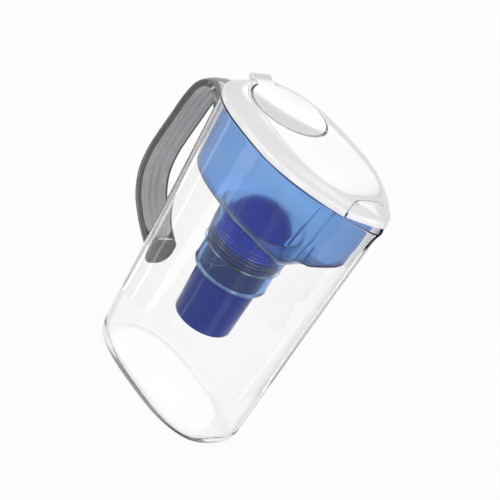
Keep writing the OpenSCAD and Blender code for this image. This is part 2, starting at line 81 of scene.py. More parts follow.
BASIN_DEPTH = 68.0
BASIN_WALL = 2.0
BASIN_GAP = 0.9
BASIN_TAPER = 3.0
BASIN_ROUND = 16.0
SOCKET_DEPTH = 56.5
SOCKET_WALL = 1.8

FILTER_LENGTH = 119.0
COLLAR_RADIUS = 30.4
FILTER_RADIUS = 27.0
FOOT_RADIUS = 24.4
FILTER_WALL = 1.6

LID_RISE = 12.3
PANEL_LENGTH = 144.0
PANEL_WIDTH = 75.6
DOOR_RADIUS = 31.6
DOOR_X = -36.2
TAB_WIDTH = 20.6
FLAP_LINE = 73.2
FLAP_OPEN = 12.0
DOOR_GAP = 2.1

SEAT_GAP = 0.3
FIT_GAP = 0.1

FLANGE_LOW = RIM_HEIGHT + SEAT_GAP
FLANGE_HIGH = FLANGE_LOW + 1.4
BASIN_FLOOR = RIM_HEIGHT - BASIN_DEPTH
SEAT_Z = BASIN_FLOOR - 31.4
FILTER_X = -2.0
COLLAR_HEIGHT = 70.9
FILTER_Z = SEAT_Z + SEAT_GAP - COLLAR_HEIGHT
LID_LOW = FLANGE_HIGH + SEAT_GAP
LID_HIGH = RIM_HEIGHT + LID_RISE
LEDGE_Z = LID_HIGH - 2.1
DOOR_HIGH = LID_HIGH + 0.7
SWING_X = FLAP_LINE + 1.4
SWING_Z = LID_HIGH - 2.5

# An outline is back, front, middle, half width, back squareness, front squareness
BASE_OUTLINE = (-BASE_LENGTH / 2, BASE_LENGTH / 2, 0.0, BASE_WIDTH / 2, 2.7, 2.7)
RIM_OUTLINE = (-RIM_BACK, RIM_FRONT, RIM_MIDDLE, RIM_WIDTH / 2, 3.2, 1.5)
TILT_X, TILT_Z = DOOR_X + DOOR_RADIUS - 8.5, DOOR_HIGH - 1.2
PANEL_FRONT = FLAP_LINE - 4.3
PANEL_OUTLINE = (PANEL_FRONT - PANEL_LENGTH, PANEL_FRONT, 14.3, PANEL_WIDTH / 2, 2.2, 2.55)

AROUND = 320       # points round each outline
SHARP_ANGLE = 40.0 # edges that turn by more than this many degrees are shaded sharp


# ---- Arithmetic ----
def full_turn(n=AROUND):
    """n angles in equal steps round a circle."""
    return 2 * np.pi * np.arange(n) / n


def polar(x, r, a, z):
    """Points at distance r and angle a round a vertical line at x, at height z."""
    r, a, z = np.broadcast_arrays(r, a, z)
    return np.stack([x + r * np.cos(a), r * np.sin(a), z], -1)


def unit(v):
    """Vectors brought to a length of 1."""
    return v / np.linalg.norm(v, axis=-1, keepdims=True)


def normals(t):
    """Unit vectors a quarter turn clockwise from 2-D directions."""
    return unit(np.stack([t[:, 1], -t[:, 0]], -1))


def across(side, near, far):
    """The lower and the higher y of a span between two distances from the middle, on the
    side given as -1 or 1."""
    return sorted((side * near, side * far))


def mix(a, b, t):
    """The point a share t of the way from a to b."""
    return a * (1 - t) + b * t


def ease(t):
    """t clamped to 0..1, with a slow start and end."""
    t = np.clip(t, 0.0, 1.0)
    return t * t * (3 - 2 * t)


def smooth_min(a, b, k):
    """The smaller of a and b, rounded over a width of k where they cross."""
    h = np.clip(0.5 + (b - a) / (2 * k), 0.0, 1.0)
    return mix(b, a, h) - k * h * (1 - h)


def soften(points, radius, steps=5, closed=False):
    """A polyline with each corner replaced by a quadratic curve that starts and ends
    radius away from it, or half an edge away if that is less. radius is one number or
    one for each point, and 0 keeps a corner."""
    points = np.asarray(points, float)
    radii = np.broadcast_to(np.asarray(radius, float), (len(points),))
    out = []
    last = len(points) - 1
    for i, p in enumerate(points):
        if (not closed and i in (0, last)) or radii[i] <= 0:
            out.append(p[None])
            continue
        before, after = points[i - 1] - p, points[(i + 1) % len(points)] - p
        lb, la = np.linalg.norm(before), np.linalg.norm(after)
        a = p + before * min(radii[i], 0.48 * lb) / lb
        b = p + after * min(radii[i], 0.48 * la) / la
        t = np.linspace(0, 1, steps)[:, None]
        out.append((1 - t) ** 2 * a + 2 * t * (1 - t) * p + t**2 * b)
    return np.concatenate(out)


def outline(o, inset=0.0, n=AROUND):
    """Points round an outline of two half superellipses: x = middle + length * |cos a|^(2/e) and
    y = half width * |sin a|^(2/e), each moved inwards by inset along the outline's normal."""
    def at(a):
        ahead = np.cos(a) >= 0
        length = np.where(ahead, o[1] - o[2], o[2] - o[0])
        e = 2 / np.where(ahead, o[5], o[4])
        c, s = np.cos(a), np.sin(a)
        return np.stack([o[2] + length * np.sign(c) * np.abs(c) ** e,
                         o[3] * np.sign(s) * np.abs(s) ** e], -1)

    a = full_turn(n)
    return at(a) - inset * normals(at(a + 0.01) - at(a - 0.01))


def level(points, z):
    """The 2-D points at height z, which may be one number or one for each point."""
    z = np.broadcast_to(np.asarray(z, float), points.shape[:1])
    return np.concatenate([points, z[:, None]], -1)


def reach(points, x, angles):
    """Distance from (x, 0) to a closed ring of points along each angle: the ring's own
    distances, taken as a function of its own angles."""
    d = points[:, :2] - [x, 0]
    own = np.arctan2(d[:, 1], d[:, 0])
    order = np.argsort(own)
    return np.interp(angles, own[order], np.hypot(d[:, 0], d[:, 1])[order], period=2 * np.pi)


# ---- Meshes ----
def shade(mesh):
    """Smooth shading, except across sharp edges."""
    mesh.shade_smooth()
    mesh.set_sharp_from_angle(angle=math.radians(SHARP_ANGLE))


def new_piece(name, verts, faces):
    """An object at the origin from vertices in millimetres. A closed mesh is turned so that
    its volume, and with it every normal, comes out positive."""
    mesh = bpy.data.meshes.new(name)
    mesh.from_pydata((np.asarray(verts) * MM).tolist(), [], [list(map(int, f)) for f in faces])
    mesh.validate()
    mesh.calc_loop_triangles()
    corners = np.empty(3 * len(mesh.loop_triangles), np.int32)
    mesh.loop_triangles.foreach_get("vertices", corners)
    a, b, c = (np.asarray(verts, float)[corners.reshape(-1, 3)[:, k]] for k in range(3))
    if (a * np.cross(b, c)).sum() < 0:
        mesh.flip_normals()
    shade(mesh)
    piece = bpy.data.objects.new(name, mesh)
    bpy.context.collection.objects.link(piece)
    return piece


def lattice(name, rings, cap="fan", loop=False, poles=None):
    """A closed surface through rings of points, an array of rings x points x 3. Each face spans
    two neighbouring points of two neighbouring rings. The last ring joins the first if loop is
    set; otherwise both end rings are closed, with a fan round two poles, which are the rings'
    own middles if not given, or with strips across from each point to its mirror point."""
    rings = np.asarray(rings, float)
    count, n, _ = rings.shape
    verts = rings.reshape(-1, 3)
    j = np.arange(count if loop else count - 1)[:, None] * n
    k = ((np.arange(len(j)) + 1) % count)[:, None] * n
    i = np.arange(n)[None, :]
    m = (i + 1) % n
    faces = np.stack([j + i, j + m, k + m, k + i], -1).reshape(-1, 4).tolist()
    if cap == "fan" and not loop:
        poles = [rings[0].mean(0), rings[-1].mean(0)] if poles is None else poles
        verts = np.concatenate([verts, poles])
        a, b = count * n, count * n + 1
        top = (count - 1) * n
        faces += [[a, (q + 1) % n, q] for q in range(n)]
        faces += [[b, top + q, top + (q + 1) % n] for q in range(n)]
    if cap == "strip":
        for base, flip in ((0, True), ((count - 1) * n, False)):
            for q in range(n // 2):
                f = [q, q + 1, (n - q - 1) % n, (n - q) % n]
                f = [base + v for v in dict.fromkeys(f)]
                faces.append(f[::-1] if flip else f)
    return new_piece(name, verts, faces)


def lathe_rings(profile, x, n):
    """Rings of a profile of (radius, z) points turned about a vertical line at x."""
    profile = np.asarray(profile, float)
    return polar(x, profile[:, 0, None], full_turn(n), profile[:, 1, None])


def join(name, *pieces):
    """One object from several, whose meshes are put side by side."""
    for p in bpy.context.selected_objects:
        p.select_set(False)
    for p in pieces:
        p.select_set(True)
    bpy.context.view_layer.objects.active = pieces[0]
    bpy.ops.object.join()
    pieces[0].name = name
    return pieces[0]


def carve(piece, cutter):
    """Takes the cutter's volume out of the piece and removes the cutter."""
    bpy.context.view_layer.update()
    mod = piece.modifiers.new("carve", "BOOLEAN")
    mod.operation = "DIFFERENCE"
    mod.solver = "EXACT"
    mod.object = cutter
    graph = bpy.context.evaluated_depsgraph_get()
    graph.update()
    mesh = bpy.data.meshes.new_from_object(piece.evaluated_get(graph))
    piece.modifiers.clear()
    piece.data = mesh
    bpy.data.objects.remove(cutter, do_unlink=True)
    shade(mesh)


def bar(name, low, high):
    """A box from its lowest to its highest corner."""
    x, y, z = zip(low, high)
    ring = np.array([[x[1], y[0]], [x[1], y[1]], [x[0], y[1]], [x[0], y[0]]])
    return lattice(name, [level(ring, z[0]), level(ring, z[1])])


def rod(name, radius, x, z, y0, y1):
    """A round bar along Y with softened ends: rings in planes of constant y."""
    edge = 0.25
    profile = [[radius - edge, y0], [radius, y0 + edge], [radius, y1 - edge], [radius - edge, y1]]
    rings = lathe_rings(profile, 0.0, 48)
    turned = np.stack([rings[..., 1] + x, rings[..., 2], rings[..., 0] + z], -1)
    return lattice(name, turned)


# ---- Materials ----
def put(tree, socket, value):
    """Sets an input to a value, or links it to another node's output."""
    if isinstance(value, bpy.types.NodeSocket):
        tree.links.new(value, socket)
    else:
        socket.default_value = value


def fill(tree, node, **inputs):
    """A node with some of its inputs set, whose names have _ for a space."""
    for key, value in inputs.items():
        put(tree, node.inputs[key.replace("_", " ")], value)
    return node


def add(tree, kind, **inputs):
    """A new node with some of its inputs set."""
    return fill(tree, tree.nodes.new(kind), **inputs)


def calculate(tree, operation, *values):
    """The output of a maths node whose inputs are set in order."""
    node = tree.nodes.new("ShaderNodeMath")
    node.operation = operation
    for socket, value in zip(node.inputs, values):
        put(tree, socket, value)
    return node.outputs["Value"]


def new_material(name):
    """A material with nodes, its node tree and its plain shader."""
    mat = bpy.data.materials.new(name)
    mat.use_nodes = True
    return mat, mat.node_tree, mat.node_tree.nodes["Principled BSDF"]


def finish(name, colour, rough, depth=0.03, scale=35.0, wander=0.04, grain=(0.0, 900.0),
           volume=None, rim_shade=1.0, frost=0.0, **inputs):
    """A plain finish whose colour and roughness vary a little with soft noise in object space:
    the colour by the share depth, the roughness by wander, and scale is the noise's frequency.
    grain is the strength and frequency of a fine surface bump, volume the colour and density
    of what absorbs light inside, rim_shade the share of colour left where the surface is seen
    edge-on, and frost the roughness added where the mesh is marked frosted."""
    mat, tree, shader = new_material(name)
    where = add(tree, "ShaderNodeTexCoord").outputs["Object"]
    noise = add(tree, "ShaderNodeTexNoise", Vector=where, Scale=scale, Detail=4.0).outputs["Fac"]
    ramp = add(tree, "ShaderNodeValToRGB", Fac=noise)
    low, high = ramp.color_ramp.elements
    low.position, high.position = 0.3, 0.7
    low.color = (*[c * (1 - depth) for c in colour], 1)
    high.color = (*[min(1.0, c * (1 + depth)) for c in colour], 1)
    tint = ramp.outputs["Color"]
    if rim_shade < 1:
        facing = add(tree, "ShaderNodeLayerWeight", Blend=0.5).outputs["Facing"]
        fall = add(tree, "ShaderNodeMapRange", Value=facing, From_Min=0.6, To_Min=1.0,
                   To_Max=rim_shade).outputs["Result"]
        darker = add(tree, "ShaderNodeVectorMath")
        darker.operation = "SCALE"
        tint = fill(tree, darker, Vector=tint, Scale=fall).outputs["Vector"]
    roughness = add(tree, "ShaderNodeMapRange", Value=noise, From_Min=0.3, From_Max=0.7,
                    To_Min=max(0.0, rough - wander), To_Max=rough + wander).outputs["Result"]
    if frost:
        mark = add(tree, "ShaderNodeAttribute")
        mark.attribute_name = "frosted"
        haze = add(tree, "ShaderNodeMapRange", Value=mark.outputs["Fac"], To_Max=frost)
        roughness = calculate(tree, "ADD", roughness, haze.outputs["Result"])
    if grain[0] > 0:
        fine = add(tree, "ShaderNodeTexNoise", Vector=where, Scale=grain[1], Detail=2.0)
        bump = add(tree, "ShaderNodeBump", Strength=grain[0], Distance=0.0002,
                   Height=fine.outputs["Fac"])
        inputs["Normal"] = bump.outputs["Normal"]
    if volume:
        inside = add(tree, "ShaderNodeVolumeAbsorption", Color=(*volume[0], 1), Density=volume[1])
        fill(tree, tree.nodes["Material Output"], Volume=inside.outputs["Volume"])
    fill(tree, shader, Base_Color=tint, Roughness=roughness, **inputs)
    return mat


clear_plastic = finish("clear_plastic", (0.998, 0.999, 0.999), 0.004, depth=0.002, wander=0.004,
                       Transmission_Weight=1.0, IOR=1.4, Specular_Tint=(0.1, 0.1, 0.1, 1),
                       rim_shade=0.42, volume=((0.42, 0.44, 0.45), 14.0))
blue_plastic = finish("blue_plastic", (0.72, 0.86, 0.98), 0.05, depth=0.02, wander=0.02,
                      frost=0.14, rim_shade=0.7,
                      Transmission_Weight=1.0, IOR=1.42, volume=((0.05, 0.41, 0.81), 262.0))
navy_plastic = finish("navy_plastic", (0.022, 0.046, 0.270), 0.2, depth=0.06, Specular_IOR_Level=0.2)
cap_plastic = finish("cap_plastic", (0.003, 0.080, 0.860), 0.3, depth=0.06, Specular_IOR_Level=0.2)
white_plastic = finish("white_plastic", (0.83, 0.832, 0.832), 0.22, depth=0.006, grain=(0.02, 1400.0),
                       Coat_Weight=0.2, Coat_Roughness=0.08)
# The lid's white plastic for the fill door, a little darker than the lid's: painted shade of the door's
# dish
door_white_painted_shade = finish("door_white_painted_shade", (0.77, 0.772, 0.77), 0.14, depth=0.006, grain=(0.01, 1400.0),
                      Coat_Weight=0.3, Coat_Roughness=0.06)
grey_plastic = finish("grey_plastic", (0.108, 0.107, 0.105), 0.18, depth=0.04, grain=(0.03, 1200.0),
                      Coat_Weight=0.6, Coat_Roughness=0.06)
grey_grip = finish("grey_grip", (0.8, 0.797, 0.792), 0.2, depth=0.05, grain=(0.05, 1500.0),
                   Coat_Weight=0.5, Coat_Roughness=0.08)
seal_rubber = finish("seal_rubber", (0.02, 0.02, 0.024), 0.6, depth=0.1, grain=(0.1, 1500.0))
filter_granules = finish("filter_granules", (0.03, 0.03, 0.034), 0.8, depth=0.5, scale=900.0,
                         grain=(0.8, 700.0))
filter_screen = finish("filter_screen", (0.72, 0.72, 0.72), 0.7, depth=0.15, scale=1500.0,
                       grain=(0.5, 1800.0))
pin_plastic = finish("pin_plastic", (0.76, 0.765, 0.77), 0.3, depth=0.02)


def dress(piece, material, slot, body, *nodes):
    """Gives a piece its finish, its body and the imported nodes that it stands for."""
    piece.data.materials.clear()
    piece.data.materials.append(material)
    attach(piece, body)
    if nodes:
        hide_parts(*nodes)


# ---- Tank ----
def rise(z):
    """Height above the base's rounded edge, from 0 there to 1 at the rim."""
    return np.clip((z - BASE_ROUND) / (RIM_HEIGHT - BASE_ROUND), 0.0, 1.0)


def wall_outline(z, inset):
    """The tank's outline at height z: the base's and the rim's, mixed by height."""
    return mix(outline(BASE_OUTLINE, inset), outline(RIM_OUTLINE, inset), rise(z))


def tank_ring(z, inset):
    """The tank's outline, pushed forward near the rim to make the pouring lip: the push grows
    with the square of height and falls off sideways as a bell curve."""
    p = wall_outline(z, inset)
    up = np.clip((z - (RIM_HEIGHT - LIP_HEIGHT)) / LIP_HEIGHT, 0.0, 1.0) ** 2
    push = LIP_REACH * up * np.exp(-((p[:, 1] / LIP_WIDTH) ** 2))
    p[:, 0] += np.where(p[:, 0] > 0, push, 0.0)
    return level(p, z)


HEEL = 12.0        # radius of the rounded edge under the tank
INNER_FLOOR = 5.6  # height of the floor's upper face


def pitcher_body():
    """Rings up the outside, over the round rim and down the inside. The heel is a quarter
    circle in inset and height; inside, the wall thickens towards a tight corner at the floor."""
    rim = TANK_WALL / 2
    lip = RIM_HEIGHT - LIP_HEIGHT
    heights = np.concatenate([np.linspace(HEEL, lip - 2, 30), np.linspace(lip, RIM_HEIGHT - rim, 12)])
    rings = [level(outline(BASE_OUTLINE, HEEL * (1 - math.sin(a)) + 0.01), HEEL * (1 - math.cos(a)))
             for a in np.linspace(0, np.pi / 2, 14)[:-1]]
    rings += [tank_ring(z, 0.0) for z in heights]
    rings += [tank_ring(RIM_HEIGHT - rim + rim * math.sin(a), rim - rim * math.cos(a))
              for a in np.linspace(0.25, np.pi - 0.25, 9)]
    rings += [tank_ring(z, TANK_WALL) for z in heights[:0:-1]]
    foot = soften([[TANK_WALL, HEEL + 4], [TANK_WALL + 0.5, HEEL - 1], [TANK_WALL + 2.6, INNER_FLOOR],
                   [TANK_WALL + 9, INNER_FLOOR]], [0, 4, 1.0, 0], 8)
    rings += [tank_ring(z, inset) if z > HEEL else level(outline(BASE_OUTLINE, inset), z)
              for inset, z in foot]
    piece = lattice("tank", rings)
    dress(piece, clear_plastic, "clear_plastic", "pitcher", "pitcher_body")


# ---- Handle ----
# The grip's outer surface: share of the handle's reach behind the rim, share of its height
GRIP_KNOTS = np.array([
    [0.01, 0.953], [0.284, 0.963], [0.598, 0.943], [0.80, 0.873], [0.892, 0.767], [0.939, 0.628],
    [0.982, 0.495], [0.994, 0.382], [0.931, 0.265], [0.735, 0.158], [0.431, 0.076], [0.157, 0.025],
    [-0.018, -0.003]])
GRIP_TOP = RIM_HEIGHT - 5
SHOULDER_SHARE = 0.16  # share of the grip's length along which the shoulder narrows
FOOT_LOW_CORNER = 12.0 # radii of the foot pad's lower and upper corners
FOOT_HIGH_CORNER = 8.0
FOOT_THICK = 4.0
LINER_FIRST = 0.165    # shares of the grip's length where the liner starts and ends
LINER_LAST = 0.93
LINER_DEPTH = 4.9      # from the grip's outer surface to the grooves between the ribs


def back_x(y, z):
    """X of the tank's back at side y and height z."""
    back, _, middle, half, square, _ = (mix(low, high, rise(z))
                                        for low, high in zip(BASE_OUTLINE, RIM_OUTLINE))
    share = np.minimum(0.99, np.abs(y) / half)
    return middle + (back - middle) * (1 - share**square) ** (1 / square)


def grip_at(u):
    """Catmull-Rom curve through the knots, u from 0 at the shoulder to 1 at the foot."""
    knots = np.stack([-RIM_BACK - HANDLE_REACH * GRIP_KNOTS[:, 0],
                      mix(FOOT_HEIGHT, GRIP_TOP, GRIP_KNOTS[:, 1])], -1)
    spans = len(knots) - 1
    s = np.clip(u * spans, 0, spans - 1e-6)
    i = np.floor(s).astype(int)
    t = (s - i)[:, None]
    p = [knots[np.clip(i + k, 0, spans)] for k in (-1, 0, 1, 2)]
    return 0.5 * (2 * p[1] + (p[2] - p[0]) * t + (2 * p[0] - 5 * p[1] + 4 * p[2] - p[3]) * t**2
                  + (3 * p[1] - p[0] - 3 * p[2] + p[3]) * t**3)


def grip_rings(u, profile, side_gap=0.0):
    """Rings across the grip. profile is share of half width and depth under the outer surface,
    (points x 2) or (rings x points x 2). Near the shoulder the grip widens and follows the
    tank's back, by a share that falls off with u."""
    u = np.asarray(u, float)
    c = grip_at(u)
    t = grip_at(np.minimum(1, u + 0.012)) - grip_at(np.maximum(0, u - 0.012))
    out = normals(t)
    near = np.clip(1 - u / SHOULDER_SHARE, 0, 1)
    half = GRIP_WIDTH / 2 + (SHOULDER_WIDTH - GRIP_WIDTH) / 2 * near**2 - side_gap
    pull = near**1.5
    profile = np.broadcast_to(profile, (len(u),) + np.asarray(profile).shape[-2:])
    y = profile[..., 0] * half[:, None]
    x = c[:, :1] - out[:, :1] * profile[..., 1]
    z = c[:, 1:] - out[:, 1:] * profile[..., 1]
    x = x + (back_x(y, RIM_HEIGHT) - back_x(0, RIM_HEIGHT)) * pull[:, None]
    x = np.minimum(x, back_x(y, z) - SEAT_GAP)
    return np.stack([x, y, z], -1)


def crown(v):
    """How far the outer surface falls away towards the grip's sides."""
    return 2.4 * np.abs(v) ** 2.6


def shell_section():
    """A C-shaped section with round edges, mirrored about its middle: the outer surface from
    one side to the other, round the lip, then the inside back."""
    v = np.linspace(0, 1, 13)[:-1]
    side = 1 - GRIP_SIDE / (GRIP_WIDTH / 2)
    outer = np.stack([v, crown(v)], -1)
    wall = soften([[0.93, crown(0.93)], [1.0, crown(1.0) + 0.2], [1.0, CHANNEL_DEPTH],
                   [side, CHANNEL_DEPTH], [side, GRIP_WALL + crown(0.8) + 0.4],
                   [0.72 * side, GRIP_WALL + crown(0.62)]], [0, 1.6, 0.9, 0.9, 1.5, 0], 6)
    inner = np.stack([v[:9][::-1] * side * 0.9, GRIP_WALL + crown(v[:9][::-1] * 0.8)], -1)
    half = np.concatenate([outer[:-1], wall, inner[1:]])
    mirror = half[1:-1][::-1] * [-1, 1]
    return np.concatenate([half, mirror])


def corner_height(y, radius):
    """Height of the foot pad's round corner over its centre, at side y: a quarter circle
    beyond the centre, and the full radius between the two corners."""
    over = np.maximum(0, np.abs(y) - (FOOT_WIDTH / 2 - radius))
    return np.sqrt(np.maximum(0, radius**2 - over**2))


def handle_shell():
    """The grip, and a pad with round corners that follows the tank's back at its foot."""
    grip = lattice("grip", grip_rings(np.linspace(0, 1, 150), shell_section()), cap="strip")
    y = FOOT_WIDTH / 2 * np.sin(np.linspace(-np.pi / 2, np.pi / 2, 41))
    low = FOOT_HEIGHT - corner_height(y, FOOT_LOW_CORNER)
    high = FOOT_HEIGHT + FOOT_LOW_CORNER - FOOT_HIGH_CORNER + corner_height(y, FOOT_HIGH_CORNER)
    section = [(low, SEAT_GAP), (high, SEAT_GAP), (high, 2.8), (high - 2, FOOT_THICK),
               (low + 2, FOOT_THICK), (low + 0.6, 3.4), (low, 2.6)]
    pad = np.stack([np.stack([back_x(y, z) - d, y, z], -1) for z, d in section], 1)
    piece = join("handle", grip, lattice("foot", pad))
    dress(piece, grey_plastic, "grey_plastic", "pitcher", "handle_shell")


def handle_liner():
    """A trough that lines the channel. Its face is a row of soft ribs that rises to both sides
    as the 3rd power of the distance from the middle, and its ends close in along a quarter
    circle."""
    u = np.linspace(LINER_FIRST, LINER_LAST, 160)
    to_end = np.minimum(u - LINER_FIRST, LINER_LAST - u) / 0.055
    close = np.sqrt(1 - (1 - np.clip(to_end, 0.04, 1)) ** 2)
    v = np.linspace(-1, 1, 97)
    ribs = (0.5 + 0.5 * np.cos(v * np.pi * 4)) ** 0.7 * (1 - v**4)
    side = (CHANNEL_DEPTH - 4.6) * np.abs(v) ** 3
    edge = np.clip((1 - np.abs(v)) / 0.05, 0, 1)
    face = mix(CHANNEL_DEPTH - 1.2, LINER_DEPTH + ribs + side, np.sqrt(1 - (1 - edge) ** 2))
    floor = np.full(33, GRIP_WALL + crown(0.8) + FIT_GAP)
    w = np.linspace(1, -1, 35)[1:-1]
    ring = np.concatenate([np.stack([v, face], -1), np.stack([w, floor], -1)])
    profile = ring[None] * np.stack([close, np.ones_like(close)], -1)[:, None]
    profile[..., 1] = mix(floor[0], profile[..., 1], np.clip(close, 0, 1)[:, None] ** 0.8)
    piece = lattice("grip_liner", grip_rings(u, profile, GRIP_SIDE + 0.25))
    dress(piece, grey_grip, "grey_grip", "pitcher", "handle_liner")


# ---- Reservoir ----
def filter_side(h):
    """Radius of the cartridge's side at height h over its foot."""
    return FOOT_RADIUS + (FILTER_RADIUS - FOOT_RADIUS) * h / COLLAR_HEIGHT


POUR_GAP = 18.6      # from the front wall's top to the pouring tip
FRONT_LEAN = 7.6     # how far that wall leans back at its foot
FRONT_CORNER = 2.6
SPREAD = 0.085       # share by which the sides spread at the foot of the front wall
BOW = 1.2            # how far the front wall bows at its middle
MOUTH_FILLET = 3.0
FLOOR_RISE = 14.5    # how far the floor rises towards the front wall
RISE_FROM, RISE_TO = 50.0, 69.0
CORNER_SHARE = 0.55  # share of the edge's full radius at the front corners
FRONT_SHARE = 0.42   # and along the foot of the front wall
FLANGE_AHEAD = 1.5   # how far the flange reaches ahead of the front wall
BEAD_HIGH, BEAD_LOW = 18.6, 22.6 # degrees round the socket, at a corner line's two ends
RIB_ANGLE = -0.105   # radians round the socket
RIDGES = (147.0, 150.0, 153.0, 156.0, 159.0) # heights of the thin rings round the socket


def basin_front(z):
    """X of the basin's front wall at height z."""
    top = RIM_FRONT - POUR_GAP
    return mix(top - FRONT_LEAN, top, np.clip((z - BASIN_FLOOR) / BASIN_DEPTH, 0, 1))


def floor_lift(x, z):
    """How far the floor rises towards the front wall: a slow ramp in x that fades with height."""
    fade = np.clip(1 - (z - BASIN_FLOOR) / (2 * BASIN_ROUND), 0, 1)
    return FLOOR_RISE * ease((x - RISE_FROM) / (RISE_TO - RISE_FROM)) * fade


def basin_outline(z, inset):
    """The tank's outline drawn in, spread a little towards the front, most at the floor, and
    cut by the slightly bowed front wall with a small round corner."""
    gap = BASIN_GAP + BASIN_TAPER * min(1.0, max(0.0, (RIM_HEIGHT - z) / BASIN_DEPTH))
    p = wall_outline(z, TANK_WALL + gap + inset)
    spread = SPREAD * (1 - 0.8 * np.clip((z - BASIN_FLOOR) / BASIN_DEPTH, 0, 1))
    p[:, 1] *= 1 + spread * ease((p[:, 0] - 42) / 28)
    bow = np.clip(BOW * (1 - (p[:, 1] / 26) ** 2), -1.0, BOW)
    p[:, 0] = smooth_min(p[:, 0], basin_front(z) - inset + bow - 1.0, FRONT_CORNER)
    return p


def around_socket(p, z, circle=0.0):
    """A ring of 2-D points as distances from the socket's middle line, no nearer than a circle."""
    angles = full_turn()
    return polar(FILTER_X, np.maximum(reach(p, FILTER_X, angles), circle), angles, z)


def basin_ring(z, inset):
    """A ring of the basin's wall at height z."""
    ring = around_socket(basin_outline(z, inset), z)
    ring[:, 2] += floor_lift(ring[:, 0], z)
    return ring


def front_flat(p):
    """1 along the foot of the front wall, falling to 0 towards its round corners and behind it."""
    ahead = ease((p[:, 0] - (basin_front(BASIN_FLOOR) - 6)) / 4)
    return ahead * (1 - ease((np.abs(p[:, 1]) - 13) / 11))


def edge_share(p):
    """Shares of its full radius that the edge between floor and wall has at each point, along
    x and along y: less near the front, and along x least at the foot of the front wall."""
    side = mix(1.0, CORNER_SHARE, ease((p[:, 0] - 20) / 36))
    return np.stack([mix(side, FRONT_SHARE, front_flat(p)), side], -1)


def edge_ring(a, size, wall, circle):
    """A ring of the rounded edge at angle a up from the floor. Its radius is size times the
    edge's share at each point."""
    low = BASIN_FLOOR + wall
    z = low + size * (1 - math.cos(a))
    by_wall = basin_outline(z, wall)
    drawn_in = basin_outline(z, wall + size * (1 - math.sin(a)))
    ring = around_socket(mix(by_wall, drawn_in, edge_share(by_wall)), z, circle)
    ring[:, 2] += floor_lift(ring[:, 0], z) - (z - low) * (1 - edge_share(ring)[:, 0])
    return ring


def flange_ring(z, inset):
    """A ring of the flange on the rim: the rim's outline, cut just ahead of the front wall."""
    p = outline(RIM_OUTLINE, FIT_GAP + inset)
    p[:, 0] = smooth_min(p[:, 0], RIM_FRONT - POUR_GAP + FLANGE_AHEAD - inset, FRONT_CORNER)
    return around_socket(p, z)


def bead(radius, z, size):
    """A thin raised ring round the socket, of a round section."""
    a = full_turn(8)
    profile = np.stack([radius + size * np.cos(a), z + size * np.sin(a)], -1)
    return lattice("bead", lathe_rings(profile, FILTER_X, 192), loop=True)


def teardrop_rib():
    """A drop-shaped rib inside the near wall: ellipses along a line down the wall, whose width
    grows as the 1.4th power of the way down and closes in a round end."""
    end = 1 - np.sin(np.linspace(0.1, 1, 10) * np.pi / 2)
    k = np.concatenate([np.linspace(0, 0.94, 40), 1 - 0.06 * end])
    x, z = mix(61.5, 54.0, k), mix(236.0, 192.0, k)
    close = np.sqrt(1 - np.clip((k - 0.94) / 0.062, 0, 1) ** 2)
    half = (0.25 + 1.5 * k**1.4) * close
    wall = []
    for height, ahead in zip(z, x):
        p = basin_outline(height, BASIN_WALL)
        near = p[p[:, 1] < 0]
        near = near[np.argsort(near[:, 0])]
        wall.append(np.interp(ahead, near[:, 0], near[:, 1]))
    a = full_turn(24)
    deep = (0.8 + 1.2 * k) * close
    rings = np.stack([x[:, None] + half[:, None] * np.cos(a),
                      np.array(wall)[:, None] + deep[:, None] * np.sin(a), z[:, None] + 0 * a], -1)
    return lattice("drop_rib", rings)


def tube(name, path, size):
    """A round bead of radius size along a path, drawn to a point at each end."""
    path = np.asarray(path, float)
    along = unit(np.gradient(path, axis=0))
    side = unit(np.cross(along, path * [1, 1, 0] - [FILTER_X, 0, 0]))
    out = np.cross(side, along)
    a = full_turn(12)
    ends = np.minimum(np.arange(len(path)), np.arange(len(path))[::-1])
    r = size * np.sqrt(np.clip((ends + 0.3) / 2.0, 0, 1))[:, None, None]
    ring = out[:, None] * np.cos(a)[None, :, None] + side[:, None] * np.sin(a)[None, :, None]
    return lattice(name, path[:, None] + r * ring)


def corner_bead(side, circle):
    """A raised line down a front corner and under its rounded foot: at each height, the point
    of the outline at an angle that grows evenly from the top to the foot."""
    wall = [basin_ring(z, 0.0) for z in np.linspace(FLANGE_LOW, BASIN_FLOOR + BASIN_ROUND, 28)]
    foot = [edge_ring(a, BASIN_ROUND, 0.0, circle) for a in (1.35, 1.1, 0.8)]
    path = []
    for p, k in zip(wall + foot, np.linspace(0, 1, len(wall + foot))):
        at = side * mix(BEAD_HIGH, BEAD_LOW, k) / 360 * AROUND
        first = math.floor(at)
        path.append(mix(p[first], p[first + 1], at - first))
    return tube("corner_bead", path, 1.05)


def hook_bead(wide, high_z, narrow, low_z):
    """A raised hook on the socket: a rounded path of angle and height wrapped round a cone,
    which narrows from one radius and height to the other."""
    path = soften([[-105, 128.4], [-97, 127.4], [-82, 129.6], [-72, 132.7], [-62.5, 137.4],
                   [-65, 139.3], [-72, 135.8], [-83, 133.4], [-97, 130.6]],
                  [0, 3, 5, 5, 1.5, 1.2, 5, 5, 0], 5)
    a = np.radians(path[:, 0])
    r = mix(narrow, wide, (path[:, 1] - low_z) / (high_z - low_z)) + 0.05
    return tube("hook_bead", polar(FILTER_X, r, a, path[:, 1]), 0.32)


def corner_web():
    """A small plate that stiffens the near corner of the front wall."""
    side = soften([[-22.0, 190.0], [-22.5, 205.5], [-12.7, 199.8], [-14.3, 187.2]],
                  [0.6, 0.8, 0.8, 0.6], 5, closed=True)
    lean = (side[:, 1] - BASIN_FLOOR) / BASIN_DEPTH * FRONT_LEAN
    rings = [np.stack([65.6 + lean + d, side[:, 0], side[:, 1]], -1) for d in (0.0, 0.9)]
    return lattice("corner_web", rings)


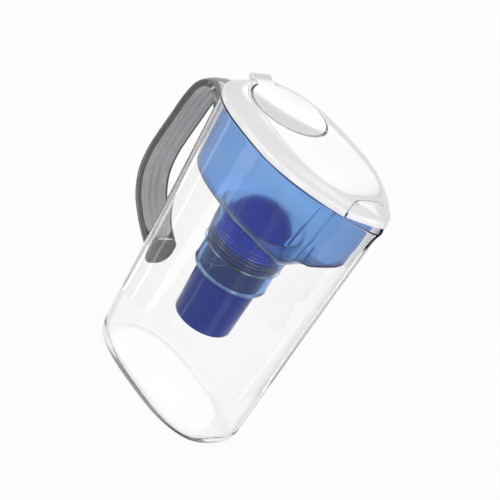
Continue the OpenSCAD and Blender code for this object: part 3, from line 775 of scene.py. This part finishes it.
def reservoir():
    """Rings up the socket's outside, out along the floor, up the wall and over the flange, then
    down the inside to the socket's ledge and its bottom hole. The inside of the wall and the
    floor is marked as frosted. Ribs, ridges and the two corner lines are laid on it."""
    seal_ring = FILTER_RADIUS - 0.9 + FIT_GAP + 1.25
    bore = seal_ring + 1.25 + SEAT_GAP
    seat = COLLAR_RADIUS + SEAT_GAP
    mouth = seat + 2
    low = BASIN_FLOOR - SOCKET_DEPTH
    leave = filter_side(low - FILTER_Z) + 0.6
    w = SOCKET_WALL
    outside = soften([[leave, low], [leave + w, low], [leave + w + 2.5, low + 2.5],
                      [bore + w, SEAT_Z - 2], [seat + w, SEAT_Z + 3], [mouth + w, BASIN_FLOOR - 8],
                      [mouth + w, BASIN_FLOOR], [mouth + w + MOUTH_FILLET, BASIN_FLOOR]],
                     [0, 1.4, 2.5, 1.5, 2, 3, MOUTH_FILLET, 0], 8)
    floor = BASIN_FLOOR + BASIN_WALL
    inside = soften([[mouth + MOUTH_FILLET, floor], [mouth, floor], [mouth, BASIN_FLOOR - 6],
                     [seat, SEAT_Z + 8], [seat, SEAT_Z], [bore, SEAT_Z], [bore, SEAT_Z - 6],
                     [leave + 2.5, low + 4.5], [leave, low + 2]],
                    [0, MOUTH_FILLET, 2, 3, 0.4, 0.5, 3, 2, 0], 8)
    quarter = np.linspace(0.0, np.pi / 2, 16)
    edge = BASIN_ROUND - BASIN_WALL
    heights = np.linspace(BASIN_FLOOR + BASIN_ROUND, RIM_HEIGHT - 1.0, 14)[1:]
    rings = list(lathe_rings(outside, FILTER_X, AROUND))
    rings += [edge_ring(a, BASIN_ROUND, 0.0, mouth + w + MOUTH_FILLET) for a in quarter]
    rings += [basin_ring(z, 0.0) for z in heights]
    rings += [basin_ring(FLANGE_LOW, 0.0), flange_ring(FLANGE_LOW, 0.4),
              flange_ring(FLANGE_LOW + 0.3, 0.0), flange_ring(FLANGE_HIGH - 0.3, 0.0),
              flange_ring(FLANGE_HIGH, 0.3)]
    rings += [basin_ring(FLANGE_HIGH, BASIN_WALL - 0.4), basin_ring(FLANGE_HIGH - 0.5, BASIN_WALL)]
    rings += [basin_ring(z, BASIN_WALL) for z in heights[::-1]]
    rings += [edge_ring(a, edge, BASIN_WALL, mouth + MOUTH_FILLET) for a in quarter[::-1]]
    rings += list(lathe_rings(inside, FILTER_X, AROUND))
    basin = lattice("basin", rings, loop=True)
    inner = np.zeros((len(rings), AROUND))
    inner[-(len(inside) + len(quarter) + len(heights)):-len(inside)] = 1.0
    frosted = basin.data.attributes.new("frosted", "FLOAT", "POINT")
    frosted.data.foreach_set("value", inner.ravel())

    def side_radius(z):
        return mix(seat, mouth, (z - SEAT_Z - 3) / 22) + w

    beads = [bead(bore - 0.1 + w, low + 4.0, 0.55), bead(seat + 0.05 + w, SEAT_Z - 0.4, 0.55)]
    beads += [bead(side_radius(z), z, 0.3) for z in RIDGES]
    beads += [corner_bead(side, mouth + w + MOUTH_FILLET) for side in (-1, 1)]
    beads.append(hook_bead(bore + w, SEAT_Z - 2, leave + w + 2.5, low + 2.5))
    z = np.linspace(146, 157, 8)
    beads.append(tube("rib_bead", polar(FILTER_X, side_radius(z), RIB_ANGLE, z), 0.6))
    piece = join("basin", basin, teardrop_rib(), corner_web(), *beads)
    dress(piece, blue_plastic, "blue_plastic", "reservoir", "reservoir")


# ---- Filter ----
NECK_HEIGHT = COLLAR_HEIGHT + 3
NECK_RADIUS = FILTER_RADIUS - 0.2
CAP_RADIUS = NECK_RADIUS + FIT_GAP + FILTER_WALL
DOME_RISE = 29.0
SLOTS = 10
SLOT_HALF = 0.7 # half a slot's width


def at_filter(profile):
    """The profile lifted to where the cartridge stands."""
    return np.asarray(profile, float) + [0, FILTER_Z]


def filter_housing():
    """The turned body: foot, side, seal groove, collar, threaded neck and its inside."""
    s = COLLAR_HEIGHT - 3
    r = FILTER_RADIUS
    neck = NECK_RADIUS
    top = NECK_HEIGHT + 12
    thread = [[neck + out, NECK_HEIGHT + 1.6 + 2.2 * turn + up]
              for turn in range(2) for out, up in ((0, 0), (0.6, 0.6), (0, 1.2))]
    profile = soften([
        [17, 0], [FOOT_RADIUS, 0], [filter_side(s - 1.4), s - 1.4], [r - 0.9, s - 1.4],
        [r - 0.9, s + 1.4], [r, s + 1.4], [r, COLLAR_HEIGHT], [COLLAR_RADIUS, COLLAR_HEIGHT],
        [COLLAR_RADIUS, NECK_HEIGHT], [neck, NECK_HEIGHT], *thread, [neck, top],
        [neck - FILTER_WALL, top], [neck - FILTER_WALL, COLLAR_HEIGHT],
        [FOOT_RADIUS - FILTER_WALL, 2], [17, 2]],
        [0, 2.6, 0.3, 0.1, 0.1, 0.3, 0.2, 0.5, 0.5, 0.4, *[0.2] * 6, 0.4, 0.3, 1, 1, 0], 5, closed=True)
    piece = lattice("cartridge_body", lathe_rings(at_filter(profile), FILTER_X, 160), loop=True)
    dress(piece, navy_plastic, "navy_plastic", "cartridge", "filter_housing")


def filter_cap():
    """The domed cap, a shell with water slots: inside and outside are quarter ellipses."""
    low = NECK_HEIGHT + 6
    dome = FILTER_LENGTH - DOME_RISE
    inside = CAP_RADIUS - FILTER_WALL
    a = np.linspace(0, np.pi / 2, 24)[:-1]
    outer = np.stack([CAP_RADIUS * np.cos(a), dome + DOME_RISE * np.sin(a)], -1)
    inner = np.stack([inside * np.cos(a), dome + (DOME_RISE - FILTER_WALL) * np.sin(a)], -1)
    grips = [[CAP_RADIUS - 0.5 * (k % 2), low + 0.6 + k * 0.9] for k in range(8)]
    profile = np.concatenate([inner[::-1], [[inside, low], [CAP_RADIUS, low]], grips, outer[1:]])
    poles = [[FILTER_X, 0, FILTER_Z + FILTER_LENGTH - FILTER_WALL],
             [FILTER_X, 0, FILTER_Z + FILTER_LENGTH]]
    rings = lathe_rings(at_filter(profile), FILTER_X, 160)
    piece = lattice("cartridge_cap", rings, poles=poles)
    slots = []
    for k in range(SLOTS):
        slot = bar("slot", (inside - 5, -SLOT_HALF, dome + 1), (inside + 5, SLOT_HALF, dome + 7))
        slot.data.transform(Matrix.Rotation(2 * math.pi * k / SLOTS, 4, "Z"))
        slot.data.transform(Matrix.Translation((FILTER_X * MM, 0, FILTER_Z * MM)))
        slots.append(slot)
    carve(piece, join("slots", *slots))
    dress(piece, cap_plastic, "navy_plastic", "cartridge", "filter_cap")


def kept_nodes():
    """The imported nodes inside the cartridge, its seal and the flap's pin keep their shape and
    take their finishes."""
    for node, material in (("filter_media", filter_granules), ("filter_top_screen", filter_screen),
                           ("filter_bottom_screen", filter_screen), ("filter_drain", navy_plastic),
                           ("filter_seal", seal_rubber), ("spout_flap_pin", pin_plastic)):
        part = frame["nodes"][node]
        part.data.materials.clear()
        part.data.materials.append(material)


# ---- Lid ----
# Across the lid's rim: inset from the rim's outline, share of the way to the panel's outline
# times 20, inset from that outline, height
LID_SECTION = [
    (-0.15, 0, 0, LID_LOW - 0.9), (-0.65, 0, 0, LID_LOW - 0.9), (-0.7, 0, 0, LID_LOW + 2.2),
    (-0.3, 0, 0, LID_LOW + 4.2), (1.1, 0, 0, LID_LOW + 5), (3.8, 0, 0, LID_LOW + 6.2),
    (3.2, 11, 0, LID_HIGH - 1.4), (0, 20, 0, LID_HIGH), (0, 20, 0, LEDGE_Z), (0, 20, 3.5, LEDGE_Z),
    (0, 20, 3.5, LEDGE_Z - 2.5), (5, 0, 0, LEDGE_Z - 4), (2.6, 0, 0, LID_LOW + 2.5),
    (2.2, 0, 0, LID_LOW), (-0.15, 0, 0, LID_LOW)]
LID_SOFT = [0.15, 0.3, 2, 2, 3, 3, 8, 0.35, 0.2, 0.3, 0.4, 4, 3, 0.5, 0.1]
FLAP_BACK = 71.6    # where the flap's round back edge begins, at its middle
FLAP_CURVE = 70.0   # twice the radius of that edge
FLAP_SEAM = 0.7     # gap between the flap and the lid's rim
CUT_LOW, CUT_HIGH = 230.0, 270.0 # heights of the cuts that go right through the lid
NOTCH_HALF = TAB_WIDTH / 2 + 0.8
TAB_FLOOR = LEDGE_Z - 1
EAR_NEAR, EAR_FAR = 11.6, 14.6   # from the lid's middle to an ear that holds the flap's pin
POCKET_NEAR, POCKET_FAR = 11.2, 15.0 # and to the pocket in the flap that takes the ear
EAR_RADIUS = 1.1
BORE_RADIUS, STUB_RADIUS = 0.78, 0.7 # the door's hinge


def panel_edge(inset=0.0, n=AROUND):
    """The panel's outline, let out where the door's well comes closer than its own rim."""
    p = outline(PANEL_OUTLINE, inset, n)
    away = p - [DOOR_X, 0]
    d = np.hypot(away[:, 0], away[:, 1])
    least = DOOR_RADIUS + DOOR_GAP + 1.7 - min(inset, 0.1) - max(0.0, inset - 0.1) * 0.2
    return [DOOR_X, 0] + away * (-smooth_min(-d, -least + 0 * d, 1.0) / d)[:, None]


def lid_rings():
    """Rings of the lid's rim. Each point lies between the rim's outline and the panel's."""
    section = soften(LID_SECTION, LID_SOFT, 6, closed=True)
    return [level(mix(outline(RIM_OUTLINE, s[0]), panel_edge(s[2]), s[1] / 20), s[3]) for s in section]


def seam_wedge(name, shift, ahead, room=0.0):
    """A tall block with a back or front face that follows the flap's curved seam,
    x = start + y^2 / curve, for cutting the lid's nose from the rest. The room is cut further
    back about 12 mm each side of the middle, where the flap's edge swings back as it opens."""
    y = np.linspace(-60, 60, 121)
    back = room * np.exp(-(((np.abs(y) - 12.0) / 4.5) ** 2))
    seam = np.stack([FLAP_BACK + shift + y**2 / FLAP_CURVE - back, y], -1)
    far = 160.0 if ahead else -160.0
    ring = np.concatenate([seam, [[far, 60], [far, -60]]])
    return lattice(name, [level(ring, CUT_LOW), level(ring, CUT_HIGH)])


def carve_notch(piece):
    """Cuts the thumb tab's notch, which ends 3 mm ahead of the door's back edge."""
    back = DOOR_X - DOOR_RADIUS
    carve(piece, bar("notch", (back - 25, -NOTCH_HALF, TAB_FLOOR), (back + 3, NOTCH_HALF, CUT_HIGH)))


def lid_frame():
    """The rim without its nose and the tab's notch, with two locating ribs under it and the
    two ears that hold the flap's pin."""
    piece = lattice("lid_rim", lid_rings(), loop=True)
    carve(piece, seam_wedge("nose", -FLAP_SEAM, True, 0.9))
    carve_notch(piece)
    ribs = []
    for side in (-1, 1):
        y = side * (RIM_WIDTH / 2 - TANK_WALL - BASIN_GAP - BASIN_WALL - 2.8)
        ribs.append(bar("locator", (RIM_MIDDLE - 30, y - 0.8, LID_LOW - 1),
                        (RIM_MIDDLE - 2, y + 0.8, LEDGE_Z - 1.4)))
        low, high = across(side, EAR_NEAR, EAR_FAR)
        ribs.append(rod("ear", EAR_RADIUS, SWING_X, SWING_Z, low, high))
        ribs.append(bar("arm", (68.0, low, SWING_Z - 1.3), (SWING_X, high, SWING_Z - 0.6)))
    piece = join("lid_rim", piece, *ribs)
    dress(piece, white_plastic, "white_plastic", "lid", "lid_frame")


def spout_flap():
    """The lid's nose ahead of the curved seam, with a round back edge over the hinge, tipped
    open about the pin."""
    piece = lattice("nose_flap", lid_rings(), loop=True)
    carve(piece, seam_wedge("rest", 0.0, False))
    for side in (-1, 1):
        low, high = across(side, POCKET_NEAR, POCKET_FAR)
        carve(piece, bar("slot", (60, low, SWING_Z - 6), (SWING_X + 1.7, high, SWING_Z + 1.25)))
    pin = Matrix.Translation((SWING_X * MM, 0, SWING_Z * MM))
    piece.data.transform(pin @ Matrix.Rotation(-math.radians(FLAP_OPEN), 4, "Y") @ pin.inverted())
    dress(piece, white_plastic, "white_plastic", "spout_flap", "spout_flap")


def lid_panel():
    """Rings by angle round the door's middle: the recess and its ledge are circles, and the
    edge is the panel's outline, with a flat face between them. From just behind the hinge
    forwards the ledge is cut away, so that the door's front edge can dip as it opens."""
    angles = full_turn()

    def circle(r, z):
        return polar(DOOR_X, r, angles, z)

    def edge(inset, z):
        return circle(reach(panel_edge(inset, 720), DOOR_X, angles), z)

    low, high = LEDGE_Z + FIT_GAP, LID_HIGH + 0.6
    well = DOOR_RADIUS + DOOR_GAP
    seat = LEDGE_Z + 0.2
    groove = LEDGE_Z - 2.4
    ledge = DOOR_RADIUS - 3.6
    outer = soften([[0.1, low], [0.1, high - 0.1], [3.2, high]], [0, 0.8, 0], 6)
    rim = soften([[0, high], [0.8, high], [0.8, high - 1]], [0, 0.4, 0], 6)
    rings = [edge(i, z) for i, z in outer]
    face_out, face_in = edge(3.2, high), circle(well + 0.8, high)
    rings += [mix(face_out, face_in, t) for t in np.linspace(0, 1, 14)[1:-1]]
    rings += [circle(well + 0.8 - d, z) for d, z in rim]
    ledge_side = [(well, groove + 0.3), (well - 0.3, groove), (DOOR_RADIUS - 1.2, groove),
                  (DOOR_RADIUS - 1.4, groove + 0.2), (DOOR_RADIUS - 1.4, seat - 0.2),
                  (DOOR_RADIUS - 1.6, seat), (ledge + 0.4, seat), (ledge, seat - 0.4),
                  (ledge, LEDGE_Z - 3.6), (ledge + 0.4, LEDGE_Z - 4), (well + 1.2, LEDGE_Z - 4),
                  (well + 1.2, low)]
    rings += list(lathe_rings(ledge_side, DOOR_X, AROUND))
    piece = lattice("lid_middle", rings, loop=True)
    carve_notch(piece)
    dip = DOOR_RADIUS + 0.4
    half = math.acos((TILT_X - 3 - DOOR_X) / dip)
    turn = np.linspace(-half, half, 65)
    room = [polar(DOOR_X, dip, turn, z) for z in (LEDGE_Z - 6, LEDGE_Z + 0.6)]
    carve(piece, lattice("dip_room", room))
    for side in (-1, 1):
        carve(piece, rod("bore", BORE_RADIUS, TILT_X, TILT_Z, *across(side, 22.0, 25.5)))
    dress(piece, white_plastic, "white_plastic", "lid", "lid_panel")


# The tab's side view from the door's back edge: a hollow thumb face that rises to a round back
TAB_SIDE = [(4, 0.5), (-0.5, 0.5), (-3, 0.7), (-6.5, 1.3), (-9.5, 2.2), (-11.5, 2.8), (-12.8, 2.3),
            (-13.8, 0.0), (-12.7, -2), (-11, -2.7), (-2, -2.7), (0.5, -1.4), (4, -1.4)]
TAB_SOFT = [0, 1, 2, 3, 2, 1.2, 1.6, 2.5, 1.5, 1.2, 1, 0.8, 0]


def fill_door():
    """A dished disc turned about its middle, and the tab, whose side view is carried across
    and drawn in towards both ends so that its edges are round. Two stubs are its hinge."""
    def dish(share):
        return 2.0 * (1 - share**2)

    share = np.linspace(0.0, 0.97, 30)[1:]
    crest = DOOR_HIGH + 0.8
    top = np.stack([DOOR_RADIUS * share, crest - dish(share)], -1)
    rim = soften([top[-1], [DOOR_RADIUS, crest], [DOOR_RADIUS, crest - 1]], [0, 0.6, 0], 6)
    low = np.stack([DOOR_RADIUS * share, DOOR_HIGH - 2 - dish(share)], -1)
    under = [[DOOR_RADIUS - 0.3, DOOR_HIGH - 2], [DOOR_RADIUS, DOOR_HIGH - 1.7]]
    profile = np.concatenate([low, under, rim[::-1], top[:-1][::-1]])
    disc = lattice("door_disc", lathe_rings(profile, DOOR_X, 256))
    profile = soften(TAB_SIDE, TAB_SOFT, 6, closed=True)
    middle = profile.mean(0)
    y = TAB_WIDTH / 2 * np.sin(np.linspace(-np.pi / 2, np.pi / 2, 49))
    edge = np.clip((TAB_WIDTH / 2 - np.abs(y)) / 1.6, 0, 1)
    shrink = mix(0.72, 1.0, np.sqrt(1 - (1 - edge) ** 2))
    at = middle + (profile[None] - middle) * shrink[:, None, None]
    rings = np.stack([at[..., 0] + DOOR_X - DOOR_RADIUS, np.broadcast_to(y[:, None], at.shape[:2]),
                      at[..., 1] + LID_HIGH], -1)
    tab = lattice("door_tab", rings)
    stubs = [rod("stub", STUB_RADIUS, TILT_X, TILT_Z, *across(side, 19.0, 25.2)) for side in (-1, 1)]
    piece = join("door", disc, tab, *stubs)
    # The door takes the darker copy of the lid's white, which is painted shade
    dress(piece, door_white_painted_shade, "white_plastic", "fill_door", "fill_door")


# ---- Stage, camera and light ----
CARD_NEAR, CARD_FAR = 140, 1500 # the floor cards' reach from the middle
BAND_FAR, BAND_LOW, BAND_HIGH = 2600, 900, 2700


def seen_plainly(tree):
    """An output that is 1 for camera, glossy and transmission rays, and 0 for any other."""
    path = add(tree, "ShaderNodeLightPath").outputs
    seen = calculate(tree, "MAXIMUM", path["Is Camera Ray"], path["Is Glossy Ray"])
    return calculate(tree, "MAXIMUM", seen, path["Is Transmission Ray"])


def stage():
    """A wide pale floor that the camera sees as white, with the object's shadow kept."""
    far = 3000
    floor = new_piece("floor", [(-far, -far, 0), (far, -far, 0), (far, far, 0), (-far, far, 0)],
                      [(0, 1, 2, 3)])
    floor.data.transform(Matrix.Translation((0, 0, -0.2 * MM)))
    mat, tree, shader = new_material("floor_white")
    fill(tree, shader, Base_Color=(0.9, 0.9, 0.9, 1), Roughness=0.9, Specular_IOR_Level=0.0)
    glow = add(tree, "ShaderNodeEmission", Color=(1, 1, 1, 1))
    both = tree.nodes.new("ShaderNodeMixShader")
    share = calculate(tree, "MULTIPLY", seen_plainly(tree), 0.94)
    for socket, value in zip(both.inputs, (share, shader.outputs["BSDF"], glow.outputs["Emission"])):
        put(tree, socket, value)
    fill(tree, tree.nodes["Material Output"], Surface=both.outputs["Shader"])
    floor.data.materials.append(mat)


def card(name, verts, faces, colour, seen_by):
    """A studio card, which only one kind of ray can see: it shades what shows in gloss or
    through clear walls and never the floor or the background."""
    piece = new_piece(name, verts, faces)
    mat, tree, shader = new_material(name)
    tree.nodes.remove(shader)
    glow = add(tree, "ShaderNodeEmission", Color=(*colour, 1))
    fill(tree, tree.nodes["Material Output"], Surface=glow.outputs["Emission"])
    piece.data.materials.append(mat)
    for kind in ("camera", "diffuse", "glossy", "transmission", "volume_scatter", "shadow"):
        setattr(piece, "visible_" + kind, kind == seen_by)


def sectors(name, spans, colour):
    """One card on the floor for each span of angles in degrees: a part of a flat ring."""
    verts, faces, count = [], [], 0
    for first, last in spans:
        n = max(2, int((last - first) / 4) + 1)
        a = np.radians(np.linspace(first, last, n))
        verts += [polar(0.0, r, a, 1.0) for r in (CARD_NEAR, CARD_FAR)]
        faces += [(count + i, count + n + i, count + n + i + 1, count + i + 1) for i in range(n - 1)]
        count += 2 * n
    card(name, np.concatenate(verts), faces, colour, "glossy")


def cards():
    """Dark and bright cards on the floor round the pitcher, which leave upright streaks in its
    gloss, and a dark band high up all round, which darkens the rims of clear pieces."""
    places = [(-168, 6), (-147, 3), (-128, 5), (-109, 2.5), (-78, 7), (-34, 6), (12, 8), (52, 5)]
    bright = [(middle - width / 2, middle + width / 2) for middle, width in places]
    between = [(one[1], other[0]) for one, other in zip(bright, bright[1:])]
    sectors("bright_cards", bright, (3.4, 3.4, 3.4))
    sectors("dark_cards", between + [(58, 82), (174, 186)], (0.05, 0.05, 0.055))
    n = 48
    verts = np.concatenate([polar(0.0, BAND_FAR, full_turn(n), z) for z in (BAND_LOW, BAND_HIGH)])
    faces = [(i, (i + 1) % n, n + (i + 1) % n, n + i) for i in range(n)]
    card("high_band", verts, faces, (0.2, 0.2, 0.21), "transmission")


def world():
    """White where the camera, a reflection or clear plastic sees it, and a plain level of
    light for everything else."""
    studio = bpy.data.worlds.new("studio")
    bpy.context.scene.world = studio
    studio.use_nodes = True
    tree = studio.node_tree
    level_of_light = add(tree, "ShaderNodeMapRange", Value=seen_plainly(tree), To_Min=0.52, To_Max=1.0)
    fill(tree, tree.nodes["Background"], Color=(1, 1, 1, 1), Strength=level_of_light.outputs["Result"])


def lamp(name, place, size, power):
    """A soft lamp of so many watts, placed and sized in metres, that faces the pitcher."""
    data = bpy.data.lights.new(name, "AREA")
    data.shape = "RECTANGLE"
    data.size, data.size_y = size
    data.energy = power
    box = bpy.data.objects.new(name, data)
    bpy.context.collection.objects.link(box)
    box.location = place
    box.rotation_euler = (Vector(LAMP_AIM) - Vector(place)).to_track_quat("-Z", "Y").to_euler()


LAMP_AIM = (0, 0, 0.14)
AZIMUTH, ELEVATION, ROLL = 37.99, 27.54, 31.66 # degrees
DISTANCE = 1685.97                             # from the aim point, in mm
FOCAL = 2155.0                                 # in pixels of a 500-pixel frame
AIM = (4.35, 0.0, 120.0)
AIM_PIXEL = (236.3, 275.59)
PIXELS = 500
SENSOR = 36                                    # in mm


def camera():
    """A long lens at its azimuth, elevation and roll, turned so that the aim point falls on
    its pixel."""
    az, el, roll = (math.radians(v) for v in (AZIMUTH, ELEVATION, ROLL))
    back = Vector((math.sin(az) * math.cos(el), -math.cos(az) * math.cos(el), math.sin(el)))
    right = Vector((math.cos(az), math.sin(az), 0))
    up = back.cross(right)
    right, up = (right * math.cos(roll) + up * math.sin(roll),
                 up * math.cos(roll) - right * math.sin(roll))
    place = (Vector(AIM) + back * DISTANCE) * MM
    right_by, down_by = PIXELS / 2 - AIM_PIXEL[0], PIXELS / 2 - AIM_PIXEL[1]
    forward = (-back * FOCAL + right * right_by - up * down_by).normalized()
    right = forward.cross(up).normalized()
    up = right.cross(forward)
    data = bpy.data.cameras.new("camera")
    data.lens = FOCAL / PIXELS * SENSOR
    data.sensor_width = SENSOR
    eye = bpy.data.objects.new("camera", data)
    bpy.context.collection.objects.link(eye)
    turn = Matrix((right, up, -forward)).transposed().to_4x4()
    eye.matrix_world = Matrix.Translation(place) @ turn
    bpy.context.scene.camera = eye


camera()
world()
lamp("back_window", (-1.5, 1.5, 1.4), (0.9, 0.7), 4.5)
lamp("left_window", (-0.8, -1.9, 0.9), (1.1, 1.2), 15)
lamp("front_window", (1.9, -0.5, 0.9), (1.0, 1.1), 15)
lamp("top_window", (0.3, -0.3, 2.2), (1.1, 1.1), 2)
cards()
stage()

pitcher_body()
handle_shell()
handle_liner()
reservoir()
filter_housing()
filter_cap()
kept_nodes()
lid_frame()
spout_flap()
lid_panel()
fill_door()

bpy.context.scene.view_settings.view_transform = "Standard"
bpy.context.view_layer.update()
